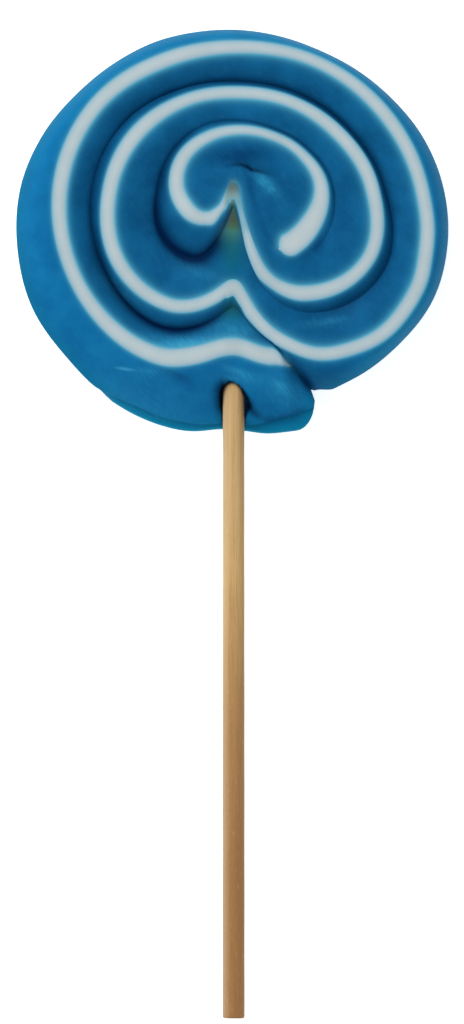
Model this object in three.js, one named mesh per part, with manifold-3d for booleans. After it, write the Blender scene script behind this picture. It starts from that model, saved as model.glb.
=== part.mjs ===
// Swirl lollipop. A rope of blue boiled sugar with one white layer through it is coiled three
// times round and pressed onto a wooden stick, while still soft, on a flat slab.
//
// It lies on its back: +Z is the face with the deep swirl, the stick points along -Y, and the
// origin is on the flat back, on the line of the stick, below the middle of the coil.
//
// The coil is worked out as a plain spiral first. Angles run along the rope in degrees, from the
// foot of the coil (-Y) towards +X, and go past 360 once for each turn. The stick, pushed in from
// the foot, then lifts the turns that it meets, which makes the cusps in the swirl.

import * as THREE from 'three';
import * as BufferGeometryUtils from 'three/addons/utils/BufferGeometryUtils.js';
import Module from 'manifold-3d';

// ---- Driving dimensions, in millimetres and degrees ----

const TURN = 360;
const EIGHTH = 45;
const TWELFTH = 30;
const HALF_TWELFTH = 15;

// The coil's centre lies beside the line of the stick, but the stick's tip has pulled the core
// nearly in line with it.
const COIL_CENTRE = { x: 1.2, y: 7.8 };
const CORE_PULL = { share: 0.25, radius: 8 };

// Radius of the white layer's middle line, at every twelfth of a turn, one turn a row.
const LAYER_RADII = [
  12.5, 13.6, 14.4, 14.7, 12.6, 10.9, 10.4, 10.8, 11.6, 11.6, 10.9, 10.7,
  12.4, 22.2, 26.6, 23.9, 20.2, 18.0, 17.2, 18.5, 20.9, 23.5, 26.2, 27.0,
  27.6, 34.9, 37.0, 32.9, 29.1, 26.6, 25.5, 26.8, 30.1, 32.7, 34.3, 35.2,
  36.2, 29.2,
];

// From the middle of the layer out to the groove against the next turn, likewise.
const GROOVE_GAPS = [
  3.0, 3.2, 3.6, 2.25, 1.65, 1.45, 1.75, 2.2, 2.3, 3.4, 6.0, 6.0,
  3.4, 4.1, 3.6, 2.4, 2.05, 1.95, 2.05, 2.3, 3.1, 3.3, 2.85, 3.9,
  3.7, 2.0,
];

// Half the width of the white layer, likewise.
const LAYER_HALVES = [
  2.0, 2.2, 2.0, 1.3, 0.9, 0.85, 0.9, 1.05, 1.25, 1.4, 1.5, 1.2,
  0.95, 1.4, 1.25, 1.25, 1.25, 1.1, 1.15, 1.15, 1.4, 1.35, 1.35, 1.25,
  1.15, 1.25, 1.35, 1.25, 1.25, 1.1, 1.25, 1.4, 1.4, 1.4, 1.3, 1.55,
  1.6, 1.4,
];

// Depth of the groove below the crest of the rope, at every eighth of a turn.
const GROOVE_DEPTHS = [
  0.9, 1.0, 0.9, 0.8, 0.9, 1.3, 2.2, 2.8,
  1.3, 1.9, 2.1, 2.3, 2.1, 2.1, 2.4, 2.8,
  1.9, 2.4,
];

// Outer radius of the last turn, at every half twelfth of a turn.
const RIM_START = 720;
const RIM_RADII = [
  36.5, 39.2, 40.4, 40.6, 40.6, 39.1, 37.0, 34.6, 32.1, 30.2, 28.9, 28.5,
  28.7, 29.4, 30.7, 32.2, 34.3, 37.2, 40.0, 42.0, 43.7, 44.2, 45.4, 45.5,
  44.2, 45.5, 45.7,
];

// How far the stick lifts each turn at the stick itself, and how the lift dies away to the left
// and right of it: reach sets how wide it spreads, and nose how blunt the cusp is.
const TURN_LIFTS = [
  { height: 5.2, left: { reach: 2.7, nose: 1.5 }, right: { reach: 2.7, nose: 1.5 } },
  { height: 11.5, left: { reach: 3.5, nose: 0.3 }, right: { reach: 1.8, nose: 0.75 } },
  { height: 9.3, left: { reach: 8.3, nose: 0.6 }, right: { reach: 5.0, nose: 0.6 } },
  { height: 7.6, left: { reach: 5.0, nose: 7.8 }, right: { reach: 5.0, nose: 4.0 } },
];

// The last groove, beside the rope's end, is lifted further to the right than the layer is.
const LAST_GROOVE = { from: 675, moreReach: 2.6 };

const ROPE_START = 8;
const ROPE_FULL = 38;
const ROPE_END = 1100;
const FREE_TAIL = 740;
const CORE_RADIUS = 0.6;
const LEAST_WALL = 0.5;

// The rope's end meets the side of the turn before it in a notch, where the rim begins.
const NOTCH = { radius: 39.3, height: 3.6, from: 736, deeperFrom: 728, rounding: 5 };
const TAIL_ROUND = { from: 1093, power: 0.75 };

const MOST_SLANT = { tip: 2.6, leg: 3.9 };
const LAYER_START = { tip: 31.5, full: 40 };
const LAYER_END = 1094.8;

const CREST = 9.6;
const CORE_HEIGHT = 9.2;
const BACK_GROOVE_DEPTH = 1.2;
const BACK_GROOVE_WIDTH = 1.2;

// The rim: the seam where the face ends, and the lip that the slab pressed out below it.
const SEAM_HEIGHT = 4.3;
const LIP_HEIGHT = 2.2;
const LIP_REACH = { left: 1.7, middle: 1.2, right: 3.0 };
const RIM_TUCK = 0.35;
const BACK_BEVEL = 2.0;

// The dent where the face sinks round the stick.
const DENT = { depth: 1.3, y: -30.5, halfWidth: 3.4, halfLength: 4.0 };

const STICK = { radius: 2.0, length: 152.0, tip: 8.7, height: 4.9, edge: 0.4, sides: 28 };
const CLEARANCE = 0.3;

const BLUE = 0x146499;
const WHITE = 0xdfe4e6;
const BIRCH = 0xc59a68;

// ---- Small helpers ----

function clamp(value, low, high) {
  return Math.min(Math.max(value, low), high);
}

function mix(a, b, share) {
  return a + (b - a) * share;
}

function smooth(from, to, value) {
  const t = clamp((value - from) / (to - from), 0, 1);
  return t * t * (3 - 2 * t);
}

// A smooth curve through evenly spaced values, read at a place counted in steps.
function spline(values, place) {
  const last = values.length - 1;
  const i = clamp(Math.floor(place), 0, last - 1);
  const t = place - i;
  const p1 = values[i];
  const p2 = values[i + 1];
  const p0 = i > 0 ? values[i - 1] : 2 * p1 - p2;
  const p3 = i + 2 <= last ? values[i + 2] : 2 * p2 - p1;
  const slope = p2 - p0;
  const bend = 2 * p0 - 5 * p1 + 4 * p2 - p3;
  const twist = 3 * (p1 - p2) + p3 - p0;
  return p1 + 0.5 * t * (slope + t * (bend + t * twist));
}

// ---- The spiral in plan ----

function layerRadius(angle) {
  return spline(LAYER_RADII, angle / TWELFTH);
}

function grooveRadius(angle) {
  const beside = layerRadius(angle) + spline(GROOVE_GAPS, angle / TWELFTH);
  const opening = mix(beside, NOTCH.radius, smooth(NOTCH.from, FREE_TAIL, angle));
  return mix(CORE_RADIUS, opening, smooth(ROPE_START, ROPE_FULL, angle));
}

function rimRadius(angle) {
  const free = spline(RIM_RADII, (angle - RIM_START) / HALF_TWELFTH);
  const opened = mix(NOTCH.radius, free, smooth(FREE_TAIL, FREE_TAIL + NOTCH.rounding, angle));
  const t = clamp((angle - TAIL_ROUND.from) / (ROPE_END - TAIL_ROUND.from), 0, 1);
  return mix(NOTCH.radius, opened, (1 - t * t) ** TAIL_ROUND.power);
}

function isCore(angle) {
  return angle < ROPE_START + TURN;
}

function isRim(angle) {
  return angle >= FREE_TAIL;
}

function innerRadius(angle) {
  return isCore(angle) ? CORE_RADIUS : grooveRadius(angle - TURN);
}

function outerRadius(angle) {
  return isRim(angle) ? rimRadius(angle) : grooveRadius(angle);
}

// ---- The stick's lift ----

function bell(lift, x, moreReach = 0) {
  const side = x < 0 ? lift.left : lift.right;
  const reach = side.reach + (x < 0 ? 0 : moreReach);
  return lift.height * Math.exp((side.nose - Math.hypot(x, side.nose)) / reach);
}

function turnLift(x, angle, moreReach = 0) {
  const turn = Math.floor(angle / TURN + 0.5);
  const fromStick = Math.abs(angle / TURN - turn);
  return bell(TURN_LIFTS[turn], x, moreReach) * (1 - smooth(0.18, 0.36, fromStick));
}

function layerLift(x, angle) {
  return turnLift(x, angle) * (1 - smooth(ROPE_END - 10, ROPE_END, angle));
}

function grooveLift(x, angle) {
  const moreReach = angle > LAST_GROOVE.from ? LAST_GROOVE.moreReach : 0;
  return turnLift(x, angle, moreReach) * (1 - smooth(FREE_TAIL - 10, FREE_TAIL, angle));
}

function innerLift(x, angle) {
  return isCore(angle) ? bell(TURN_LIFTS[0], x) : grooveLift(x, angle - TURN);
}

function outerLift(x, angle) {
  return isRim(angle) ? 0 : grooveLift(x, angle);
}

// A point of the coil in plan, lifted with the white layer or with the groove on either side.
function inPlan(radius, angle, lift) {
  const turned = THREE.MathUtils.degToRad(angle);
  const middle = COIL_CENTRE.x * mix(CORE_PULL.share, 1, smooth(0, CORE_PULL.radius, radius));
  const x = middle + radius * Math.sin(turned);
  return new THREE.Vector2(x, COIL_CENTRE.y - radius * Math.cos(turned) + lift(x, angle));
}

function innerPoint(angle) {
  return inPlan(innerRadius(angle), angle, innerLift);
}

function outerPoint(angle, inset) {
  return inPlan(outerRadius(angle) - inset, angle, outerLift);
}

function layerPoint(angle) {
  return inPlan(layerRadius(angle), angle, layerLift);
}

// The direction along the rope, per degree.
function layerHeading(angle) {
  return layerPoint(angle + 0.5).sub(layerPoint(angle - 0.5));
}

// How much radius makes one millimetre square across the layer, which slants at the cusps. The
// tip of a cusp is blunt, so there it is held lower.
function slant(angle) {
  let sum = 0;
  for (const step of [-3, 0, 3]) {
    const middle = angle + step;
    const radius = layerRadius(middle);
    const along = layerHeading(middle);
    const across = inPlan(radius + 0.5, middle, layerLift).sub(inPlan(radius - 0.5, middle, layerLift));
    sum += along.length() / Math.abs(along.cross(across));
  }
  const fromStick = Math.abs(layerPoint(angle).x);
  return Math.min(sum / 3, mix(MOST_SLANT.tip, MOST_SLANT.leg, smooth(1, 3, fromStick)));
}

// The two sides of the slot that the white layer fills, or of the layer itself, which is smaller
// by the inset. Where the slot is closed, both sides are one point.
function layerSides(angle, inset) {
  const inner = innerRadius(angle);
  const outer = outerRadius(angle);
  const middle = layerRadius(angle);
  const stretch = slant(angle);
  const early = clamp((LAYER_START.full - angle) / (LAYER_START.full - LAYER_START.tip), 0, 1);
  const half = (spline(LAYER_HALVES, angle / TWELFTH) + CLEARANCE) * Math.sqrt(1 - early * early);
  // The candy between the slot and the grooves stays thick enough, also where the stick lifts the
  // layer more than it lifts the groove inside it, or less than the groove outside it.
  const fromInside = inPlan(inner, angle, layerLift).y - innerPoint(angle).y;
  const fromOutside = outerPoint(angle, 0).y - inPlan(outer, angle, layerLift).y;
  const lowest = inner + LEAST_WALL + Math.max(fromInside, 0);
  const highest = outer - Math.max(fromOutside, 0);
  const inward = Math.min(half, (middle - lowest) / stretch);
  const outward = Math.min(half, (0.8 * (highest - middle)) / stretch);
  if (inward + outward <= 0.01) {
    const between = clamp(middle, mix(inner, outer, 0.12), mix(inner, outer, 0.88));
    const closed = inPlan(between, angle, layerLift);
    return { low: closed, high: closed, open: false };
  }
  const narrowed = Math.min(inset, (inward + outward) / 2);
  const along = layerHeading(angle).normalize();
  const low = layerPoint(angle).add(new THREE.Vector2(-along.y, along.x).multiplyScalar(inward - narrowed));
  const high = inPlan(middle + (outward - narrowed) * stretch, angle, layerLift);
  return { low, high, open: true };
}

// ---- Heights ----

// Hand-rolled rope is a little thicker in some places than in others.
function crest(angle) {
  const turned = THREE.MathUtils.degToRad(angle);
  return CREST + 0.18 * Math.sin(2.3 * turned + 1) + 0.12 * Math.sin(5.1 * turned);
}

function grooveHeight(angle) {
  const deep = crest(angle) - spline(GROOVE_DEPTHS, angle / EIGHTH);
  const opening = mix(deep, NOTCH.height, smooth(NOTCH.deeperFrom, FREE_TAIL, angle));
  return mix(CORE_HEIGHT, opening, smooth(ROPE_START, ROPE_FULL, angle));
}

function backGrooveHeight(angle) {
  const opening = mix(BACK_GROOVE_DEPTH, NOTCH.height, smooth(NOTCH.deeperFrom, FREE_TAIL, angle));
  return opening * smooth(ROPE_START, ROPE_FULL, angle);
}

// Where the rim is full height: it starts and ends as a point in the notch.
function rimOpening(angle) {
  return smooth(FREE_TAIL, FREE_TAIL + 8, angle) * (1 - smooth(ROPE_END - 7, ROPE_END, angle));
}

function tailEnding(angle) {
  return smooth(ROPE_END - 8, ROPE_END, angle);
}

// The top of the rope beside the white layer, and the flat back below it.
function topHeight(angle) {
  const ends = isCore(angle) ? CORE_HEIGHT : NOTCH.height;
  return mix(ends, crest(angle), smooth(ROPE_START, ROPE_FULL, angle) * (1 - tailEnding(angle)));
}

function backHeight(angle) {
  return NOTCH.height * tailEnding(angle);
}

function lip(angle) {
  const left = mix(LIP_REACH.left, LIP_REACH.middle, smooth(1066, 1074, angle));
  const reach = mix(left, LIP_REACH.right, smooth(1080, 1092, angle));
  return reach * smooth(1038, 1056, angle) * (1 - smooth(1094.5, ROPE_END, angle));
}

function dent(plan) {
  const across = plan.x / DENT.halfWidth;
  const along = (plan.y - DENT.y) / DENT.halfLength;
  return DENT.depth * Math.exp(-across * across - along * along);
}

function raised(plan, height) {
  return new THREE.Vector3(plan.x, plan.y, height);
}

// ---- Sections across the rope ----

const BAND_STEPS = [0.15, 0.45, 0.75];
const FLANK_STEPS = [0.4, 0.75];

// The face of one section, from the inner groove over the crest to the outer groove or seam.
function frontSection(angle) {
  const slot = layerSides(angle, 0);
  const groove = innerPoint(angle);
  const seam = outerPoint(angle, isRim(angle) ? lip(angle) : 0);
  const innerHeight = isCore(angle) ? CORE_HEIGHT : grooveHeight(angle - TURN);
  const outerHeight = isRim(angle) ? mix(NOTCH.height, SEAM_HEIGHT, rimOpening(angle)) : grooveHeight(angle);
  const top = topHeight(angle);
  // The wide flank over the stick slopes evenly, and the narrow ones are rounded.
  const roundness = isRim(angle) ? 2.2 - 0.9 * smooth(1000, 1060, angle) : 1.8;

  const band = [0, ...BAND_STEPS, 1].map((share) => {
    const plan = groove.clone().lerp(slot.low, share);
    return raised(plan, mix(innerHeight, top, 1 - (1 - share) ** 2.2));
  });
  const flank = [0, ...FLANK_STEPS, 1].map((share) => {
    const plan = slot.high.clone().lerp(seam, share);
    const height = mix(top, outerHeight, share ** roundness);
    return raised(plan, height - (isRim(angle) ? dent(plan) * (1 - share) : 0));
  });
  return { band, flank, open: slot.open };
}

// The back of the same section: flat bands that lie on the slab, between shallow grooves.
function backSection(angle) {
  const slot = layerSides(angle, 0);
  const groove = innerPoint(angle);
  const rimWidth = outerPoint(angle, 0).distanceTo(slot.high);
  const bevel = Math.min(BACK_BEVEL - 0.35 * lip(angle), 0.5 * rimWidth) * rimOpening(angle);
  const edge = outerPoint(angle, bevel);
  const innerHeight = isCore(angle) ? 0 : backGrooveHeight(angle - TURN);
  const outerHeight = isRim(angle) ? NOTCH.height * (1 - rimOpening(angle)) : backGrooveHeight(angle);
  const flat = backHeight(angle);
  const innerShare = Math.min(BACK_GROOVE_WIDTH / Math.max(groove.distanceTo(slot.low), 0.01), 0.5);
  const outerShare = 1 - Math.min(BACK_GROOVE_WIDTH / Math.max(edge.distanceTo(slot.high), 0.01), 0.5);

  const band = [0, innerShare, 1].map((share) => {
    const plan = groove.clone().lerp(slot.low, share);
    return raised(plan, share === 0 ? innerHeight : flat);
  });
  const flank = [0, outerShare, 1].map((share) => {
    const plan = slot.high.clone().lerp(edge, share);
    return raised(plan, share === 1 ? outerHeight : flat);
  });
  return { band, flank, open: slot.open };
}

function lipPoint(angle) {
  const opening = rimOpening(angle);
  const tuck = RIM_TUCK * opening * (1 - smooth(0, 0.6, lip(angle)));
  return raised(outerPoint(angle, tuck), mix(NOTCH.height, LIP_HEIGHT, opening));
}

// ---- Skins ----

// Closer sections near the stick, where the turns bend sharply, and wider ones elsewhere. They
// repeat with each turn, so that neighbouring turns share the points in their groove.
const SECTIONS_FROM = -26;
const SECTION_SPANS = [
  { to: -10, count: 8 },
  { to: 4, count: 14 },
  { to: 50, count: 23 },
  { to: 334, count: 48 },
];

function sectionAngles(from, to) {
  const oneTurn = [];
  let start = SECTIONS_FROM;
  for (const span of SECTION_SPANS) {
    for (let i = 0; i < span.count; i += 1) {
      oneTurn.push(mix(start, span.to, i / span.count));
    }
    start = span.to;
  }
  const angles = [];
  for (let turn = 0; turn <= 3; turn += 1) {
    angles.push(...oneTurn.map((angle) => angle + turn * TURN));
  }
  return angles.filter((angle) => angle >= from && angle <= to);
}

class Skin {
  constructor() {
    this.corners = [];
  }

  triangle(a, b, c) {
    this.corners.push(a, b, c);
  }

  quad(a, b, c, d) {
    this.triangle(a, b, c);
    this.triangle(a, c, d);
  }

  // A strip between two rows of points, seen from outside with the rows running away from left
  // to right and the second row behind the first.
  strip(row, next) {
    for (let i = 0; i + 1 < row.length; i += 1) {
      this.quad(row[i], row[i + 1], next[i + 1], next[i]);
    }
  }

  // The closed surface with shared corners, and without the triangles that shrank to nothing.
  geometry() {
    const loose = new THREE.BufferGeometry().setFromPoints(this.corners);
    const merged = BufferGeometryUtils.mergeVertices(loose, 1e-4);
    const index = merged.getIndex().array;
    const kept = [];
    for (let i = 0; i < index.length; i += 3) {
      const [a, b, c] = index.slice(i, i + 3);
      if (a !== b && b !== c && c !== a) {
        kept.push(a, b, c);
      }
    }
    merged.setIndex(kept);
    return merged;
  }
}

// ---- The blue candy, with its slot still open and no hole for the stick ----

function candyGeometry() {
  const skin = new Skin();
  const angles = sectionAngles(ROPE_START, ROPE_END);
  const sections = angles.map((angle) => ({
    angle,
    front: frontSection(angle),
    back: backSection(angle),
    lip: isRim(angle) ? lipPoint(angle) : null,
  }));

  for (let i = 0; i + 1 < sections.length; i += 1) {
    const { front, back, lip: edge, angle } = sections[i];
    const next = sections[i + 1];
    skin.strip(front.band, next.front.band);
    skin.strip(front.flank, next.front.flank);
    skin.strip(next.back.band, back.band);
    skin.strip(next.back.flank, back.flank);
    if (front.open || next.front.open) {
      skin.strip([front.band.at(-1), back.band.at(-1)], [next.front.band.at(-1), next.back.band.at(-1)]);
      skin.strip([back.flank[0], front.flank[0]], [next.back.flank[0], next.front.flank[0]]);
    }
    if (isRim(angle)) {
      const rim = [front.flank.at(-1), edge, back.flank.at(-1)];
      skin.strip(rim, [next.front.flank.at(-1), next.lip, next.back.flank.at(-1)]);
    }
  }

  // The core inside the first turn closes with a fan on each face.
  const core = sections.filter(({ angle }) => angle <= ROPE_START + TURN);
  const middle = inPlan(0, ROPE_START, innerLift);
  for (let i = 0; i + 1 < core.length; i += 1) {
    skin.triangle(raised(middle, CORE_HEIGHT), core[i].front.band[0], core[i + 1].front.band[0]);
    skin.triangle(raised(middle, 0), core[i + 1].back.band[0], core[i].back.band[0]);
  }
  return skin.geometry();
}

// ---- The white layer, which runs through the rope from face to back ----

function layerSection(angle, sides) {
  return {
    top: sides.map((plan) => raised(plan, topHeight(angle))),
    under: sides.map((plan) => raised(plan, backHeight(angle))).reverse(),
  };
}

function layerTip(angle) {
  const { low, high } = layerSides(angle, 0);
  const middle = low.lerp(high, 0.5);
  return layerSection(angle, [middle, middle]);
}

function layerGeometry() {
  const skin = new Skin();
  const inside = sectionAngles(LAYER_START.tip + 1.4, LAYER_END - 0.3).map((angle) => {
    const { low, high } = layerSides(angle, CLEARANCE);
    return layerSection(angle, [low, high]);
  });
  const sections = [layerTip(LAYER_START.tip + 1), ...inside, layerTip(LAYER_END)];
  for (let i = 0; i + 1 < sections.length; i += 1) {
    const { top, under } = sections[i];
    const next = sections[i + 1];
    skin.strip(top, next.top);
    skin.strip(under, next.under);
    skin.strip([top[1], under[0]], [next.top[1], next.under[0]]);
    skin.strip([under[1], top[0]], [next.under[1], next.top[0]]);
  }
  return skin.geometry();
}

// ---- The stick, a turned birch dowel with its edges rubbed round ----

function dowelGeometry(radius, tip, foot, edge) {
  const outline = new THREE.Path();
  outline.moveTo(0, foot);
  outline.lineTo(radius - edge, foot);
  outline.absarc(radius - edge, foot + edge, edge, -Math.PI / 2, 0, false);
  outline.lineTo(radius, tip - edge);
  outline.absarc(radius - edge, tip - edge, edge, 0, Math.PI / 2, false);
  outline.lineTo(0, tip);
  const dowel = new THREE.LatheGeometry(outline.getPoints(3), STICK.sides);
  dowel.deleteAttribute('normal');
  dowel.deleteAttribute('uv');
  const skin = new Skin();
  const loose = dowel.toNonIndexed().getAttribute('position');
  for (let i = 0; i < loose.count; i += 3) {
    const corners = [0, 1, 2].map((k) => new THREE.Vector3().fromBufferAttribute(loose, i + k));
    corners.forEach((corner) => corner.setZ(corner.z + STICK.height));
    skin.triangle(...corners);
  }
  return skin.geometry();
}

// ---- Cutting the hole for the stick ----

const wasm = await Module();
wasm.setup();

function toSolid(geometry) {
  const mesh = new wasm.Mesh({
    numProp: 3,
    vertProperties: Float32Array.from(geometry.getAttribute('position').array),
    triVerts: Uint32Array.from(geometry.getIndex().array),
  });
  return new wasm.Manifold(mesh);
}

function toGeometry(solid) {
  const { vertProperties, triVerts } = solid.getMesh();
  const geometry = new THREE.BufferGeometry();
  geometry.setAttribute('position', new THREE.BufferAttribute(vertProperties, 3));
  geometry.setIndex(new THREE.BufferAttribute(triVerts, 1));
  return geometry;
}

function withStickHole(geometry) {
  const wide = STICK.radius + CLEARANCE;
  const hole = dowelGeometry(wide, STICK.tip + CLEARANCE, STICK.tip - STICK.length / 2, STICK.edge);
  return toGeometry(toSolid(geometry).subtract(toSolid(hole)));
}

// ---- The lollipop ----

function piece(name, geometry, color, roughness) {
  geometry.computeVertexNormals();
  const material = new THREE.MeshStandardMaterial({ color, roughness, metalness: 0, flatShading: true });
  const mesh = new THREE.Mesh(geometry, material);
  mesh.name = name;
  return mesh;
}

const stickFoot = STICK.tip - STICK.length;
const lollipop = new THREE.Group();
lollipop.name = 'swirl_lollipop';
lollipop.add(piece('blue_candy', withStickHole(candyGeometry()), BLUE, 0.3));
lollipop.add(piece('white_layer', withStickHole(layerGeometry()), WHITE, 0.35));
lollipop.add(piece('stick', dowelGeometry(STICK.radius, STICK.tip, stickFoot, STICK.edge), BIRCH, 0.7));

export default lollipop;
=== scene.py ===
import math

import bmesh
import bpy
import numpy as np
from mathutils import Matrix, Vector
from mathutils.kdtree import KDTree


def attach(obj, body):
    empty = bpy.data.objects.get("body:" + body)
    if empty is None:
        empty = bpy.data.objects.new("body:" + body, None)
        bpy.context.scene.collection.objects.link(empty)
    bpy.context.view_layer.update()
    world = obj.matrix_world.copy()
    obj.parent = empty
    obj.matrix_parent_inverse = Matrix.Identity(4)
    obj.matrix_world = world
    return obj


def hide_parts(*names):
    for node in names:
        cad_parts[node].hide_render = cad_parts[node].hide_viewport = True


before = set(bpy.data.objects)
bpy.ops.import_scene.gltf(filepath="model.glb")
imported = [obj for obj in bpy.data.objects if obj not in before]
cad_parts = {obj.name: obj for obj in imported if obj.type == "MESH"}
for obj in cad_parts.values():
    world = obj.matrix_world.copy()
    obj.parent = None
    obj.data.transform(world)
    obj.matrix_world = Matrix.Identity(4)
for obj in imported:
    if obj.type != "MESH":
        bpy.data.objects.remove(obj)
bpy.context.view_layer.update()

# ---- Blue candy ----
# A rope of blue boiled sugar, coiled three times round on a slab while it was soft. The turns
# fused side by side and left deep grooves, and the stick, pushed in from the foot, drew every
# turn it met up into a cusp. The free end of the rope lies at the lower right.

# Lengths are in millimetres. Places along the rope are angles in degrees, counted on through
# all the turns, from the side of the foot towards the right.
MM = 0.001
TURN, TWELFTH, EIGHTH = 360.0, 30.0, 45.0
COIL_X, COIL_Y = 1.2, 7.8
# Where the rope, the relief of its face and its white layer begin, and where they are full.
ROPE_START, ROPE_FULL, ROPE_END = 8.0, 38.0, 1100.0
FACE_START, FACE_FULL = 14.0, 75.0
LAYER_START, LAYER_FULL = 31.5, 40.0
# Where the last turn becomes free on its outside, and where its end begins to round off.
FREE_TAIL, TAIL_ROUND = 740.0, 1093.0
CORE_RADIUS = 0.6
# The notch that the free end leaves beside the turn before it.
NOTCH_RADIUS, NOTCH_HEIGHT = 39.3, 3.6
# The very middle of the coil lies nearer the stick: its share of COIL_X, and how far that goes.
MIDDLE_SHARE, MIDDLE_REACH = 0.25, 8

# Twelve values a turn: radius of the white layer, its gap out to the groove, and half its width.
LAYER_RADII = [
    12.5, 13.6, 14.4, 14.7, 12.6, 10.9, 10.4, 10.8, 11.6, 11.6, 10.9, 10.7,
    12.4, 22.2, 26.6, 23.9, 20.2, 18.0, 17.2, 18.5, 20.9, 23.5, 26.2, 27.0,
    27.6, 34.9, 37.0, 32.9, 29.1, 26.6, 25.5, 26.8, 30.1, 32.7, 34.3, 35.2,
    36.2, 29.2,
]
GROOVE_GAPS = [
    3.0, 3.2, 3.6, 2.25, 1.65, 1.45, 1.75, 2.2, 2.3, 3.4, 6.0, 6.0,
    3.4, 4.1, 3.6, 2.4, 2.05, 1.95, 2.05, 2.3, 3.1, 3.3, 2.85, 3.9,
    3.7, 2.0,
]
LAYER_HALVES = [
    2.0, 2.2, 2.0, 1.3, 0.9, 0.85, 0.9, 1.05, 1.25, 1.4, 1.5, 1.2,
    0.95, 1.4, 1.25, 1.25, 1.25, 1.1, 1.15, 1.15, 1.4, 1.35, 1.35, 1.25,
    1.15, 1.25, 1.35, 1.25, 1.25, 1.1, 1.25, 1.4, 1.4, 1.4, 1.3, 1.55,
    1.6, 1.4,
]
# Where the layer bends a little in or out, and where it is thinner or thicker: each as an angle,
# a spread and a size.
LAYER_BENDS = [(736, 6, -0.4), (764, 9, 0.5), (790, 6, -0.28), (1065, 7, -0.45), (1080, 4, 0.25)]
LAYER_SWELLS = [(344, 6, -0.4), (359, 4, -0.35), (377, 6, -0.2), (718, 5, 0.15), (1063, 8, 0.1)]
# Where the outside of the last turn stands out or in a little, likewise.
RIM_BUMPS = [(743, 4, 0.28), (1075, 4, -0.38), (1086, 4, 0.38)]
# The blue wall that is always left on the inner side of the layer, and at the tail's end; the
# most of the candy on its outer side that the layer may take; and the thinnest layer there is.
INNER_WALL, TAIL_WALL = 0.5, 0.2
OUTWARD_MOST = 0.8
THINNEST_LAYER = 0.01
# Eight values a turn: depth of the groove, how dark its painted shade is, and how far that painted
# shade reaches towards the middle of the coil and away from it.
GROOVE_DEPTHS = [
    0.1, 0.35, 0.8, 0.8, 0.9, 1.3, 2.2, 2.6,
    0.6, 1.7, 2.1, 2.3, 2.1, 2.1, 2.4, 2.8,
    0.7, 1.0,
]
GROOVE_DARKS = [
    0.0, 0.0, 0.25, 0.4, 0.4, 0.45, 0.85, 1.3,
    0.9, 0.3, 0.45, 0.6, 0.45, 0.35, 0.55, 0.9,
    0.7, 0.0,
]
INWARD_SHADES = [
    0.6, 0.5, 0.5, 0.42, 0.42, 0.7, 1.5, 1.6,
    0.8, 0.8, 0.7, 0.5, 0.6, 0.8, 1.3, 0.7,
    1.0, 0.6,
]
OUTWARD_SHADES = [
    0.4, 0.4, 0.4, 0.35, 0.35, 0.45, 0.5, 1.0,
    2.6, 0.8, 0.6, 0.6, 0.5, 0.45, 0.45, 1.1,
    0.8, 0.6,
]
# Outer radius of the last turn from 720 degrees on, at every half of a twelfth.
RIM_RADII = [
    36.5, 39.2, 40.4, 40.6, 40.6, 39.1, 37.0, 34.6, 32.1, 30.2, 28.9, 28.5,
    28.7, 29.4, 30.7, 32.2, 34.3, 37.2, 40.0, 42.0, 43.7, 44.2, 45.4, 45.5,
    44.2, 45.5, 45.7,
]
# How far the stick lifts each turn, and how that dies away to either side: (reach, bluntness).
LIFT_HEIGHTS = [5.2, 11.5, 9.3, 7.6]
LIFT_LEFT = [(2.7, 1.5), (3.5, 0.3), (8.3, 0.6), (5.0, 7.8)]
LIFT_RIGHT = [(2.7, 1.5), (1.8, 0.75), (5.0, 0.6), (5.0, 4.0)]
# The shares of a turn over which the lift ends, and the last groove's wider lift on its right.
LIFT_ENDS = 0.18, 0.36
WIDE_LIFT_FROM, WIDE_LIFT_REACH = 675, 2.6
# The steepest that the layer may run across a section, beside the stick and away from it.
STEEP_BY_STICK, STEEP_AWAY = 2.6, 3.9

# Heights of the face, of the middle of the coil, and of the seam over the lip, how deep the
# grooves in the back are, and how far the lip stands out left of the hole, at it and right of it.
CREST = 9.6
CORE_HEIGHT = 9.6
SEAM_HEIGHT = 4.3
BACK_GROOVE = 1.2
LIP_LEFT, LIP_AT_HOLE, LIP_RIGHT = 1.7, 1.2, 3.0
# Where along the rope the lip starts, narrows at the hole, widens again and ends.
LIP_STARTS, LIP_NARROWS = (1038, 1056), (1066, 1074)
LIP_WIDENS, LIP_ENDS = (1080, 1092), (1094.5, ROPE_END)


def mix(a, b, share):
    return a + (b - a) * share


def smooth(low, high, value):
    t = np.clip((value - low) / (high - low), 0.0, 1.0)
    return t * t * (3 - 2 * t)


def curve(values, place):
    """A smooth curve through evenly spaced values."""
    values = np.asarray(values, float)
    last = len(values) - 1
    i = np.clip(np.floor(place).astype(int), 0, last - 1)
    t = place - i
    p1, p2 = values[i], values[i + 1]
    p0 = np.where(i > 0, values[np.maximum(i - 1, 0)], 2 * p1 - p2)
    p3 = np.where(i + 2 <= last, values[np.minimum(i + 2, last)], 2 * p2 - p1)
    bow = 2 * p0 - 5 * p1 + 4 * p2 - p3
    return p1 + 0.5 * t * ((p2 - p0) + t * (bow + t * (3 * (p1 - p2) + p3 - p0)))


def bumps(places, angle):
    return sum(size * np.exp(-((angle - at) / spread) ** 2) for at, spread, size in places)


def layer_radius(angle):
    return curve(LAYER_RADII, angle / TWELFTH) + bumps(LAYER_BENDS, angle)


def groove_radius(angle):
    beside = layer_radius(angle) + curve(GROOVE_GAPS, angle / TWELFTH)
    opening = mix(beside, NOTCH_RADIUS, smooth(FREE_TAIL - 4, FREE_TAIL, angle))
    return mix(CORE_RADIUS, opening, smooth(ROPE_START, ROPE_FULL, angle))


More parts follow.
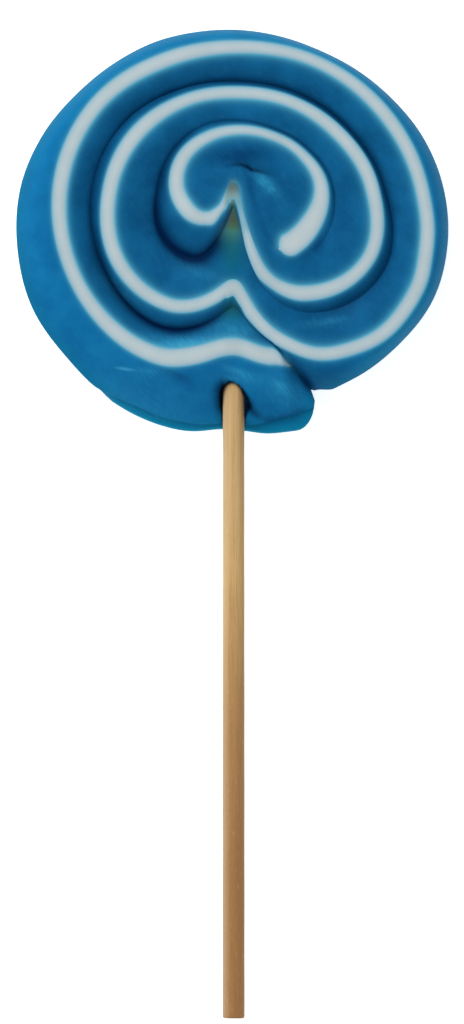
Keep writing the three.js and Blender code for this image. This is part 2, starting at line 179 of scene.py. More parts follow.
def rim_radius(angle):
    free = curve(RIM_RADII, (angle - 2 * TURN) / (TWELFTH / 2)) + bumps(RIM_BUMPS, angle)
    opened = mix(NOTCH_RADIUS, free, smooth(FREE_TAIL, FREE_TAIL + 5, angle))
    t = np.clip((angle - TAIL_ROUND) / (ROPE_END - TAIL_ROUND), 0, 1)
    return mix(NOTCH_RADIUS, opened, (1 - t * t) ** 0.75)


def inner_radius(angle):
    return np.where(angle < ROPE_START + TURN, CORE_RADIUS, groove_radius(angle - TURN))


def outer_radius(angle):
    return np.where(angle >= FREE_TAIL, rim_radius(angle), groove_radius(angle))


def turn_lift(x, angle, more_reach=0.0):
    """How far the stick lifts a place, which depends on its turn and on how far aside it is."""
    turn = np.clip(np.floor(angle / TURN + 0.5).astype(int), 0, 3)
    left, right = np.array(LIFT_LEFT)[turn], np.array(LIFT_RIGHT)[turn]
    reach = np.where(x < 0, left[..., 0], right[..., 0] + more_reach)
    nose = np.where(x < 0, left[..., 1], right[..., 1])
    bell = np.array(LIFT_HEIGHTS)[turn] * np.exp((nose - np.hypot(x, nose)) / reach)
    return bell * (1 - smooth(*LIFT_ENDS, np.abs(angle / TURN - turn)))


def layer_lift(x, angle):
    return turn_lift(x, angle) * (1 - smooth(ROPE_END - 10, ROPE_END, angle))


def groove_lift(x, angle):
    more_reach = np.where(angle > WIDE_LIFT_FROM, WIDE_LIFT_REACH, 0.0)
    return turn_lift(x, angle, more_reach) * (1 - smooth(FREE_TAIL - 10, FREE_TAIL, angle))


def inner_lift(x, angle):
    core = turn_lift(x, np.zeros_like(angle))
    return np.where(angle < ROPE_START + TURN, core, groove_lift(x, angle - TURN))


def outer_lift(x, angle):
    return np.where(angle >= FREE_TAIL, 0.0, groove_lift(x, angle))


def no_lift(x, angle):
    return 0 * x


def in_plan(radius, angle, lift):
    """Points of the coil in plan, as (..., 2), in millimetres."""
    turned = np.radians(angle)
    middle = COIL_X * mix(MIDDLE_SHARE, 1.0, smooth(0, MIDDLE_REACH, radius))
    x = middle + radius * np.sin(turned)
    return np.stack([x, COIL_Y - radius * np.cos(turned) + lift(x, angle)], axis=-1)


def layer_point(angle):
    return in_plan(layer_radius(angle), angle, layer_lift)


def layer_heading(angle):
    return layer_point(angle + 0.5) - layer_point(angle - 0.5)


def cross2(a, b):
    return a[..., 0] * b[..., 1] - a[..., 1] * b[..., 0]


def slant(angle):
    """Radius that makes one millimetre square across the white layer."""
    total = 0
    for step in (-3, 0, 3):
        near = angle + step
        radius = layer_radius(near)
        along = layer_heading(near)
        aside = in_plan(radius + 0.5, near, layer_lift) - in_plan(radius - 0.5, near, layer_lift)
        total = total + np.linalg.norm(along, axis=-1) / np.abs(cross2(along, aside))
    off_stick = np.abs(layer_point(angle)[..., 0])
    most = mix(STEEP_BY_STICK, STEEP_AWAY, smooth(1, 3, off_stick))
    return np.minimum(total / 3, most)


def layer_sides(angle):
    """Inner and outer side of the white layer, and whether it is there at all."""
    inner, outer, middle = inner_radius(angle), outer_radius(angle), layer_radius(angle)
    stretch = slant(angle)
    early = np.clip((LAYER_FULL - angle) / (LAYER_FULL - LAYER_START), 0, 1)
    half = curve(LAYER_HALVES, angle / TWELFTH) + bumps(LAYER_SWELLS, angle)
    half = half * np.sqrt(1 - early ** 2)
    inner_edge = in_plan(inner, angle, inner_lift)
    crowded = in_plan(inner, angle, layer_lift)[..., 1] - inner_edge[..., 1]
    wall = mix(INNER_WALL, TAIL_WALL, smooth(1082, 1090, angle))
    lowest = inner + wall + np.maximum(crowded, 0)
    inward = np.minimum(half, (middle - lowest) / stretch)
    outer_edge = in_plan(outer, angle, outer_lift)
    highest = outer - np.maximum(outer_edge[..., 1] - in_plan(outer, angle, layer_lift)[..., 1], 0)
    outward = np.minimum(half, OUTWARD_MOST * (highest - middle) / stretch)
    there = (inward + outward) > THINNEST_LAYER
    # Where there is no layer, both sides meet in one place between the grooves.
    between = np.clip(middle, mix(inner, outer, 0.12), mix(inner, outer, 0.97))
    closed = in_plan(between, angle, layer_lift)
    along = layer_heading(angle)
    along = along / np.linalg.norm(along, axis=-1, keepdims=True)
    left = np.stack([-along[..., 1], along[..., 0]], axis=-1)
    low = layer_point(angle) + left * inward[..., None]
    high = in_plan(middle + outward * stretch, angle, layer_lift)
    open_here = there[..., None]
    return np.where(open_here, low, closed), np.where(open_here, high, closed), there


def crest(angle):
    """The height of the face, not quite even because it was pressed by hand."""
    turned = np.radians(angle)
    return CREST + 0.18 * np.sin(2.3 * turned + 1) + 0.12 * np.sin(5.1 * turned)


def groove_height(angle):
    deep = crest(angle) - curve(GROOVE_DEPTHS, angle / EIGHTH)
    opening = mix(deep, NOTCH_HEIGHT, smooth(FREE_TAIL - 5, FREE_TAIL, angle))
    return mix(CORE_HEIGHT, opening, smooth(FACE_START, FACE_FULL, angle))


def back_groove_height(angle):
    opening = mix(BACK_GROOVE, NOTCH_HEIGHT, smooth(FREE_TAIL - 12, FREE_TAIL, angle))
    return opening * smooth(ROPE_START, ROPE_FULL, angle)


def rim_opening(angle):
    """None at the notch, one along the free outside, and none again at the tail's end."""
    return smooth(FREE_TAIL, FREE_TAIL + 8, angle) * (1 - smooth(ROPE_END - 7, ROPE_END, angle))


def tail_ending(angle):
    return smooth(ROPE_END - 8, ROPE_END, angle)


def top_height(angle):
    ends = np.where(angle < ROPE_START + TURN, CORE_HEIGHT, NOTCH_HEIGHT)
    full = smooth(FACE_START, FACE_FULL, angle) * (1 - tail_ending(angle))
    return mix(ends, crest(angle), full)


def lip_reach(angle):
    left = mix(LIP_LEFT, LIP_AT_HOLE, smooth(*LIP_NARROWS, angle))
    reach = mix(left, LIP_RIGHT, smooth(*LIP_WIDENS, angle))
    return reach * smooth(*LIP_STARTS, angle) * (1 - smooth(*LIP_ENDS, angle))


# Sections across the rope in one turn, each span from an angle to an angle with so many of
# them: dense near the stick.
SECTION_SPANS = [(-26, -10, 22), (-10, 4, 56), (4, 50, 60), (50, 334, 170)]


def section_angles(start, end):
    """The angles of all sections, the same in every turn."""
    one_turn = [np.linspace(a, b, count, endpoint=False) for a, b, count in SECTION_SPANS]
    angles = np.concatenate([np.concatenate(one_turn) + TURN * k for k in range(4)])
    return angles[(angles >= start) & (angles <= end)]


def distance_to_line(plan, line):
    """Distance from places in plan to a line, and where along it and on which side they lie."""
    best = np.full(plan.shape[:-1], np.inf)
    place, side = np.zeros_like(best), np.zeros_like(best)
    line = np.asarray(line, float)
    for k, (a, b) in enumerate(zip(line[:-1], line[1:])):
        run = b - a
        t = np.clip(((plan - a) @ run) / (run @ run), 0, 1)
        d = np.linalg.norm(plan - (a + t[..., None] * run), axis=-1)
        nearer = d < best
        best = np.where(nearer, d, best)
        place = np.where(nearer, (k + t) / (len(line) - 1), place)
        side = np.where(nearer, np.sign(cross2(np.broadcast_to(run, plan.shape), plan - a)), side)
    return best, place, side


def patch(x, y, spot, size, lean=0.0):
    """A soft patch on the face round a spot, longer one way and turned by its lean."""
    c, s = math.cos(math.radians(lean)), math.sin(math.radians(lean))
    along = ((x - spot[0]) * c + (y - spot[1]) * s) / size[0]
    aside = ((y - spot[1]) * c - (x - spot[0]) * s) / size[1]
    return np.exp(-along ** 2 - aside ** 2)


def patchwork(x, y, rows):
    return sum(strength * patch(x, y, spot, size, lean) for strength, spot, size, lean in rows)


def soft_line(off, width, blunt=2):
    """One on a line and nothing well away from it."""
    return np.exp(-(off / width) ** blunt)


def fading(place, rise, fall):
    """Nothing at either end of a line and one between them."""
    return smooth(0, rise, place) * (1 - smooth(1 - fall, 1, place))


# The face is not quite even: a crease beside the inner end of the rope, a fold and a dent beside
# the stick hole, a nick in a groove, and the gap that opened round the stick. A furrow beside the
# inner end of the rope is only painted shade, and the edge over the lip at the lower left gets a
# painted highlight.
CORE_CREASE = [
    (-3.6, 11.2), (-1.0, 11.8), (1.1, 12.0), (2.3, 11.6),
    (3.2, 11.0), (4.8, 10.7), (6.6, 10.1), (7.7, 9.3)]
CORE_FURROW_SHADE = [(3.3, 10.7), (3.2, 7.3), (4.1, 3.7), (5.7, -0.3), (8.2, -3.6)]
FOOT_FOLD = [(-15.0, -25.4), (-11.4, -25.7), (-8.8, -26.7), (-6.3, -28.6)]
LIP_EDGE = [(-23.9, -29.0), (-21.0, -31.0), (-17.0, -33.2), (-12.5, -34.5), (-8.7, -35.0)]
HOLE_CREASE = [(2.6, -31.4), (3.6, -33.2), (5.2, -34.3), (7.0, -34.6)]
RIGHT_SEAM = [(5.2, -34.3), (7.5, -34.6), (10.3, -33.9), (12.2, -32.9), (14.0, -32.4)]
# The nick and the ridge beside it, and the dent over the hole: each with its height, its spot
# in plan, its size both ways and its lean.
NICK = [(-0.25, (16.5, -15.9), (1.2, 0.7), 0), (0.12, (18.2, -17.0), (1.5, 0.8), 0)]
HOLE_DENT = [(1.3, (0, -30.5), (3.4, 4.0), 0)]


def handwork(plan, height):
    """The height of the face with its creases and dents."""
    d, place, side = distance_to_line(plan, CORE_CREASE)
    # Above the crease the rope sinks into it, below it the core stands up.
    drop = 0.4 * np.where(side > 0, soft_line(d, 0.9, 1), soft_line(d, 0.3))
    height = height - drop * smooth(0.25, 0.5, place) * (1 - smooth(0.65, 1, place))
    d, place, side = distance_to_line(plan, FOOT_FOLD)
    fold = np.where(side > 0, 0.06 * soft_line(d, 1.0), -0.1 * soft_line(d, 1.1))
    height = height + fold * fading(place, 0.35, 0.5)
    for line, depth, width in ((HOLE_CREASE, 0.5, 0.8), (RIGHT_SEAM, 0.25, 0.7)):
        d, place, _ = distance_to_line(plan, line)
        height = height - depth * soft_line(d, width) * fading(place, 0.1, 0.35)
    return height + patchwork(plan[..., 0], plan[..., 1], NICK)


# Half the width of the open hole on either side of the stick, from where the candy closes on the
# stick again up to where the arch over it begins; how far that arch rises, how steeply it comes
# down to the right, and from which x on; and how high the floor of the hole is.
HOLE_FROM_FOOT = [-34.2, -33.4, -32.5, -31.5, -30.5, -29.6]
HOLE_LEFT = [2.0, 2.05, 2.2, 2.35, 2.4, 2.35]
HOLE_RIGHT = [2.0, 2.4, 2.8, 2.9, 2.75, 2.45]
ARCH_RISE, ARCH_FALL, ARCH_TOP = 2.05, 0.4, -0.8
HOLE_FLOOR = 2.62


def hole_edge(x, y):
    """How far a place in plan lies outside the open hole; inside it this is negative."""
    left, right = (np.interp(y, HOLE_FROM_FOOT, half) for half in (HOLE_LEFT, HOLE_RIGHT))
    wide = np.where(x < 0, left, right)
    above = y + ARCH_FALL * np.maximum(x - ARCH_TOP, 0) - HOLE_FROM_FOOT[-1]
    over = (np.hypot(x / wide, above / ARCH_RISE) - 1) * ARCH_RISE
    return np.where(above > 0, over, np.abs(x) - wide)


def stick_hole(plan, height):
    """The open end of the hole: an arch over the stick, then a channel down beside it."""
    open_here = 1 - smooth(-0.35, 0.25, hole_edge(plan[..., 0], plan[..., 1]))
    return np.minimum(height, mix(height, HOLE_FLOOR, open_here))


def with_height(plan, height):
    return np.concatenate([plan, height[..., None]], axis=-1)


def shares(count):
    """Shares from 0 to 1 that lie closer together at both ends."""
    return (1 - np.cos(np.pi * np.arange(count + 1) / count)) / 2


def across(a, b, share):
    return a[:, None, :] + (b - a)[:, None, :] * share[None, :, None]


def no_heights(plan):
    return with_height(plan, 0 * plan[..., 0])


# Steps across each strip of a section, and the shares at which a wall of the slot has points.
BAND_STEPS, FLANK_STEPS, BACK_STEPS = 18, 34, 12
WALL_SHARES = (0, 0.5, 1)


def front_rows(angle):
    """The face, as the band from the inner groove to the white layer and the flank beyond it."""
    low, high, there = layer_sides(angle)
    rim = angle >= FREE_TAIL
    groove = in_plan(inner_radius(angle), angle, inner_lift)
    seam = in_plan(outer_radius(angle) - np.where(rim, lip_reach(angle), 0), angle, outer_lift)
    groove_z = np.where(angle < ROPE_START + TURN, CORE_HEIGHT, groove_height(angle - TURN))
    seam_z = np.where(rim, mix(NOTCH_HEIGHT, SEAM_HEIGHT, rim_opening(angle)), groove_height(angle))
    top = top_height(angle)
    roundness = np.where(rim, 2.2 - 0.9 * smooth(1000, 1060, angle), 1.8)

    share = shares(BAND_STEPS)
    plan = across(groove, low, share)
    # Above the middle of the coil each turn rises steeply beside the one inside it.
    steepness = 1.75 - 0.45 * np.cos(np.radians(angle))
    rise = 1 - (1 - share[None]) ** steepness[:, None]
    band = with_height(plan, handwork(plan, mix(groove_z[:, None], top[:, None], rise)))

    share = shares(FLANK_STEPS)
    plan = across(high, seam, share)
    height = mix(top[:, None], seam_z[:, None], share[None] ** roundness[:, None])
    dent = patchwork(plan[..., 0], plan[..., 1], HOLE_DENT)
    height = height - np.where(rim[:, None], dent * (1 - share[None]), 0)
    return band, with_height(plan, stick_hole(plan, handwork(plan, height))), there


VALLEY_WIDTH = 1.3


def valley(distance, depth):
    """The height of the back near a groove in it."""
    return depth * np.clip(1 - distance / VALLEY_WIDTH, 0, 1) ** 1.7


def back_rows(angle):
    """The back: flat bands that lay on the slab, between shallow grooves."""
    low, high, there = layer_sides(angle)
    rim = angle >= FREE_TAIL
    groove = in_plan(inner_radius(angle), angle, inner_lift)
    full = in_plan(outer_radius(angle), angle, outer_lift)
    width = np.linalg.norm(full - high, axis=-1)
    bevel = np.minimum(2.0 - 0.35 * lip_reach(angle), 0.5 * width) * rim_opening(angle)
    edge = in_plan(outer_radius(angle) - bevel, angle, outer_lift)
    groove_z = np.where(angle < ROPE_START + TURN, 0, back_groove_height(angle - TURN))
    edge_z = np.where(rim, NOTCH_HEIGHT * (1 - rim_opening(angle)), back_groove_height(angle))
    flat = NOTCH_HEIGHT * tail_ending(angle)

    share = shares(BACK_STEPS)
    plan = across(groove, low, share)
    reach = np.linalg.norm(low - groove, axis=-1)[:, None] * share[None]
    band = with_height(plan, flat[:, None] + valley(reach, (groove_z - flat)[:, None]))
    plan = across(high, edge, share)
    reach = np.linalg.norm(edge - high, axis=-1)[:, None] * (1 - share[None])
    flank = with_height(plan, flat[:, None] + valley(reach, (edge_z - flat)[:, None]))
    return band, flank, there


# The lip from the seam down to the back: how far in its points lie, first as shares of its reach
# and under it as shares of the bevel, then how high they lie, and how much painted shade and
# painted light they carry.
LIP_IN = [1.0, 0.97, 0.9, 0.78, 0.5, 0.25, 0.07, 0.0]
UNDER_LIP_IN = [0.04, 0.3, 1.0]
LIP_HEIGHTS = [4.3, 4.02, 3.72, 3.55, 3.35, 3.05, 2.6, 1.9, 1.0, 0.35, 0.0]
LIP_PAINTED_SHADES = [0.3, 0.7, 1.0, 1.0, 0.75, 0.35, 0.05, 0, 0, 0, 0]
LIP_PAINTED_LIGHTS = [0, 0, 0, 0.05, 0.25, 0.6, 0.95, 1.0, 1.0, 0.6, 0.3]


def rim_rows(angle, seam, back_edge):
    """The outside of the last turn, from the seam over the lip to the back edge."""
    opening, lip = rim_opening(angle)[:, None], lip_reach(angle)[:, None]
    lipped = smooth(0, 1.2, lip)
    radius = outer_radius(angle)
    full = in_plan(radius, angle, outer_lift)
    bevel = np.linalg.norm(full - back_edge[:, :2], axis=-1)[:, None]
    # Where there is no lip the side is round; with one it drops, runs out and rounds under.
    turned = np.linspace(0, 1, len(LIP_HEIGHTS))[None] * np.pi / 2
    with_lip = np.concatenate([lip * LIP_IN, bevel * UNDER_LIP_IN], axis=1)
    inset = mix(bevel * (1 - np.cos(turned)), with_lip, lipped)
    height = mix(SEAM_HEIGHT * (1 - np.sin(turned)), np.array([LIP_HEIGHTS]), lipped)
    plan = in_plan(radius[:, None] - inset, angle[:, None] + 0 * inset, no_lift)
    rows = with_height(plan, stick_hole(plan, mix(NOTCH_HEIGHT, height, opening)))
    rows[:, 0] = seam
    rows[:, -1] = back_edge
    return rows, lipped


def mark(mesh, name, values):
    layer = mesh.attributes.new(name, "FLOAT", "POINT")
    layer.data.foreach_set("value", np.asarray(values, np.float32))


# In metres: points that are one point, and the shortest edge that stays.
SAME_POINT, SHORTEST_EDGE = 2e-6, 1e-7


class Skin:
    """Strips of points that are joined into one closed mesh, some with a mark for their colour."""

    def __init__(self, *marks):
        self.points, self.faces, self.count = [], [], 0
        self.marks = {name: [] for name in marks}

    def strip(self, rows, keep=None, **marks):
        n, m = rows.shape[:2]
        index = self.count + np.arange(n * m).reshape(n, m)
        quads = np.stack([index[:-1, :-1], index[:-1, 1:], index[1:, 1:], index[1:, :-1]], axis=-1)
        if keep is not None:
            quads = quads[keep]
        flat = {name: np.broadcast_to(values, (n, m)).reshape(-1) for name, values in marks.items()}
        self.add(rows.reshape(-1, 3), quads.reshape(-1, 4), **flat)

    def add(self, points, faces, **marks):
        self.points.append(points)
        self.faces.extend(faces.tolist())
        self.count += len(points)
        for name, parts in self.marks.items():
            parts.append(np.broadcast_to(marks.get(name, 0.0), len(points)))

    def piece(self, name, sharp):
        mesh = bpy.data.meshes.new(name)
        mesh.from_pydata((np.concatenate(self.points) * MM).tolist(), [], self.faces)
        for layer, parts in self.marks.items():
            mark(mesh, layer, np.concatenate(parts))
        work = bmesh.new()
        work.from_mesh(mesh)
        bmesh.ops.remove_doubles(work, verts=work.verts, dist=SAME_POINT)
        bmesh.ops.dissolve_degenerate(work, edges=work.edges, dist=SHORTEST_EDGE)
        work.to_mesh(mesh)
        work.free()
        mesh.shade_smooth()
        mesh.set_sharp_from_angle(angle=math.radians(sharp))
        piece = bpy.data.objects.new(name, mesh)
        bpy.context.collection.objects.link(piece)
        return piece


def wall_rows(top_edge, back_edge):
    return np.stack([mix(top_edge, back_edge, share) for share in WALL_SHARES], axis=1)


angles = section_angles(ROPE_START, ROPE_END)
band, flank, open_slot = front_rows(angles)
back_band, back_flank, _ = back_rows(angles)
free = angles >= FREE_TAIL
outside = (free * smooth(FREE_TAIL, FREE_TAIL + 15, angles))[:, None]
skin = Skin("outside", "lip_dark", "lip_light")
skin.strip(band)
skin.strip(flank, outside=outside)
skin.strip(back_band[:, ::-1])
skin.strip(back_flank[:, ::-1], outside=outside)
slot = open_slot[:-1] | open_slot[1:]
skin.strip(wall_rows(band[:, -1], back_band[:, -1]), slot)
skin.strip(wall_rows(flank[:, 0], back_flank[:, 0])[:, ::-1], slot)
rim, lipped = rim_rows(angles[free], flank[free][:, -1], back_flank[free][:, -1])
# Left of the stick the painted shade on the lip is weaker than right of it.
lip_dark = lipped * LIP_PAINTED_SHADES * mix(0.45, 1.0, smooth(1080, 1088, angles[free]))[:, None]
skin.strip(rim, outside=outside[free], lip_dark=lip_dark, lip_light=lipped * LIP_PAINTED_LIGHTS)
core = angles <= ROPE_START + TURN
middle = in_plan(np.zeros(1), np.array([ROPE_START]), inner_lift)[0]
top_middle, back_middle = np.append(middle, handwork(middle, CORE_HEIGHT)), np.append(middle, 0)
for loop, point, order in ((band, top_middle, 1), (back_band, back_middle, -1)):
    loop = loop[core][:, 0]
    tip = np.arange(1, len(loop))
    corners = np.stack([0 * tip, tip, tip + 1], axis=-1)[:, ::order] + skin.count
    skin.add(np.concatenate([[point], loop]), corners)
candy = skin.piece("blue_candy_skin", sharp=50)


# More marks that the colour follows: how near the white layer is, where the stick shows through
# the thinner candy above it, painted shade where the light doesn't reach, and painted highlights
# where the pulled sugar glints.
def tree_of(points):
    tree = KDTree(len(points))
    for i, point in enumerate(points):
        tree.insert(Vector(point), i)
    tree.balance()
    return tree


def nearest_in(tree, points):
    """Which of the tree's points is nearest to each place, and how far away that is."""
    found = [tree.find(Vector(point)) for point in points]
    return np.array([f[1] for f in found]), np.array([f[2] for f in found])


def distance_to(tree, points):
    return nearest_in(tree, points)[1]


def groove_shade(plan):
    """How much painted shade darkens the sugar beside the groove that is nearest in plan."""
    along = np.arange(ROPE_START, FREE_TAIL, 0.4)
    line = in_plan(groove_radius(along), along, groove_lift)
    which, off = nearest_in(tree_of(no_heights(line)), no_heights(plan))
    heading = line[np.minimum(which + 1, len(line) - 1)] - line[np.maximum(which - 1, 0)]
    inward = cross2(heading, plan - line[which]) > 0
    angle = along[which]
    eighths = angle / EIGHTH
    reach = np.where(inward, curve(INWARD_SHADES, eighths), curve(OUTWARD_SHADES, eighths))
    dark = curve(GROOVE_DARKS, eighths) * smooth(ROPE_START, ROPE_FULL + 20, angle)
    # No shade over the stick in the first turn, and less over it in the second.
    dark = dark * (1 - smooth(343, 354, angle) * (1 - smooth(382, 398, angle)))
    dark = dark * (1 - 0.8 * smooth(715, 721, angle))
    dark = dark + 0.25 * fading(smooth(655, 722, angle), 0.7, 0.2)
    return np.minimum(dark * soft_line(off, reach, 1.5), 1)


def corners_of(piece):
    flat = np.empty(len(piece.data.vertices) * 3)
    piece.data.vertices.foreach_get("co", flat)
    return flat.reshape(-1, 3) / MM


# Soft patches on the face: how strong, where, how big both ways, and how far turned. First those
# of painted shade, where the sugar looks darker than round it, then those of painted highlight,
# where it glints.
SHADES = [
    (1.0, (0.6, 13.4), (5.4, 1.6), 0),
    (0.6, (2.6, 9.0), (0.8, 3.2), 10),
    (0.8, (15.3, -2.6), (1.0, 2.6), -35),
    (0.3, (20.4, 5.0), (2.2, 8.0), 0),
    (0.25, (0.5, 15.6), (7.0, 2.0), 0),
]
GLINTS = [
    (1.0, (5.9, 8.4), (2.6, 1.0), -45),
    (1.0, (-8.5, -20.6), (6.5, 1.2), 6),
    (0.55, (0.4, -17.9), (4.2, 1.6), 0),
    (0.4, (-6.1, -7.4), (3.5, 1.2), -20),
    (0.35, (16.5, -16.6), (4.5, 0.7), 8),
    (0.35, (-15.0, -25.6), (3.5, 0.6), -4),
    (0.4, (9.3, -29.6), (4.2, 2.6), -30),
    (0.35, (-20.3, -11.3), (5.0, 1.6), -42),
    (0.2, (-14.0, -31.5), (14.0, 5.0), -25),
    (0.45, (30.5, -17.2), (7.5, 2.2), 50),
    (0.3, (-20.0, -31.5), (8.0, 2.0), -25),
    (0.5, (1.0, -26.8), (3.6, 1.2), 0),
    (0.35, (-11.9, -19.8), (4.0, 0.9), -8),
    (0.75, (0.6, -25.6), (2.6, 0.6), -20),
    (0.6, (8.5, -28.4), (2.0, 0.9), -35),
]
NOTCH_SHADE = [(0.8, (13.4, -27.6), (2.8, 0.9), -56)]
CREASE_SHADE = [(0.3, (2.9, 11.3), (0.9, 0.35), -40)]
# Where the white layer lights the sugar beside it less.
CALM = [(0.8, (-1.0, 8.2), (2.4, 2.2), 0), (0.45, (2.7, 0.5), (4.0, 1.6), -69)]

inner_tree = tree_of(np.concatenate([band[open_slot][:, -1], back_band[open_slot][:, -1]]))
outer_tree = tree_of(np.concatenate([flank[open_slot][:, 0], back_flank[open_slot][:, 0]]))
spots = corners_of(candy)
plan = spots[:, :2]
x, y, z = spots.T
face = smooth(2.0, 4.0, z)
# The groove mark is painted shade beside the grooves and in the notch of the free end.
groove = np.minimum(groove_shade(plan) + patchwork(x, y, NOTCH_SHADE), 1)
mark(candy.data, "groove", groove * face)
edge_angles = np.arange(FREE_TAIL + 4, ROPE_END, 0.5)
edge = in_plan(rim_radius(edge_angles), edge_angles, no_lift)
mark(candy.data, "thin", soft_line(distance_to(tree_of(no_heights(edge)), no_heights(plan)), 1.6))

inside_off, outside_off = distance_to(inner_tree, spots), distance_to(outer_tree, spots)
calm = 1 - patchwork(x, y, CALM)
near = np.maximum(soft_line(inside_off, 0.4, 1), 0.85 * soft_line(outside_off, 0.24, 1))
glow = np.maximum(soft_line(inside_off, 1.1, 1), 0.6 * soft_line(outside_off, 0.8, 1))
mark(candy.data, "near_layer", calm * near)
mark(candy.data, "glow", calm * glow)

SEEN_FROM, SEEN_LENGTH = -20, 30
stick_width = mix(2.0, 0.6, smooth(-1.0, 4.0, y))
seen = soft_line(x + 0.1, stick_width) * mix(0.75, 1.0, smooth(-2.0, 1.0, y))
seen = seen * (1 - smooth(8.0, 9.8, y)) * smooth(-18.5, -15.0, y)
mark(candy.data, "stick_seen", seen * face)
mark(candy.data, "stick_place", (y - SEEN_FROM) / SEEN_LENGTH)

# The hollow mark is painted shade in the crease right of the stick hole, in and beside the open
# hole, and along the crease at the inner end of the rope.
off, place, _ = distance_to_line(plan, HOLE_CREASE)
painted_hollow_shade = 0.8 * soft_line(off, 0.75) * fading(place, 0.02, 0.9)
hole_off = hole_edge(x, y)
left = smooth(-1.0, -2.2, x)
soft = mix(0.6, 1.0, left) * (1 - smooth(-0.2, mix(0.8, 2.0, left), hole_off))
in_hole = np.maximum(1 - smooth(-0.3, 0.4, hole_off), soft)
painted_hollow_shade = painted_hollow_shade + in_hole * smooth(mix(-34.6, -36.0, left), -31.8, y)
off, place, side = distance_to_line(plan, CORE_CREASE)
crease = 0.85 * np.where(side > 0, soft_line(off, 0.6, 1), soft_line(off, 0.35))
painted_hollow_shade = painted_hollow_shade + crease * fading(place, 0.35, 0.4) + patchwork(x, y, CREASE_SHADE)
mark(candy.data, "painted_hollow_shade", np.clip(painted_hollow_shade * face, 0, 1))

# Painted shade in soft patches, along the furrow beside the inner end of the rope, along the fold,
# and along the seam right of the hole.
shade = patchwork(x, y, SHADES)
off, place, _ = distance_to_line(plan, CORE_FURROW_SHADE)
shade = shade + 0.45 * soft_line(off, 0.7) * fading(place, 0.1, 0.1)
off, place, side = distance_to_line(plan, FOOT_FOLD)
shade = shade + 0.65 * soft_line(off, np.where(side > 0, 0.5, 1.2)) * fading(place, 0.35, 0.4)
off, place, _ = distance_to_line(plan, RIGHT_SEAM)
shade = shade + 0.8 * soft_line(off, 0.7) * fading(place, 0.15, 0.1)
mark(candy.data, "shade", np.clip(shade, 0, 1) * face)
# Painted highlights in soft patches and along the edge over the lip.
off, place, _ = distance_to_line(plan, LIP_EDGE)
glint = patchwork(x, y, GLINTS) + 0.45 * soft_line(off, 0.45) * fading(place, 0.15, 0.3)
mark(candy.data, "glint", np.clip(glint, 0, 1) * face)


def tint(red, green, blue):
    """A colour as it looks on a screen, as the shader wants it."""
    def linear(value):
        value /= 255
        return value / 12.92 if value <= 0.04045 else ((value + 0.055) / 1.055) ** 2.4
    return (linear(red), linear(green), linear(blue), 1)


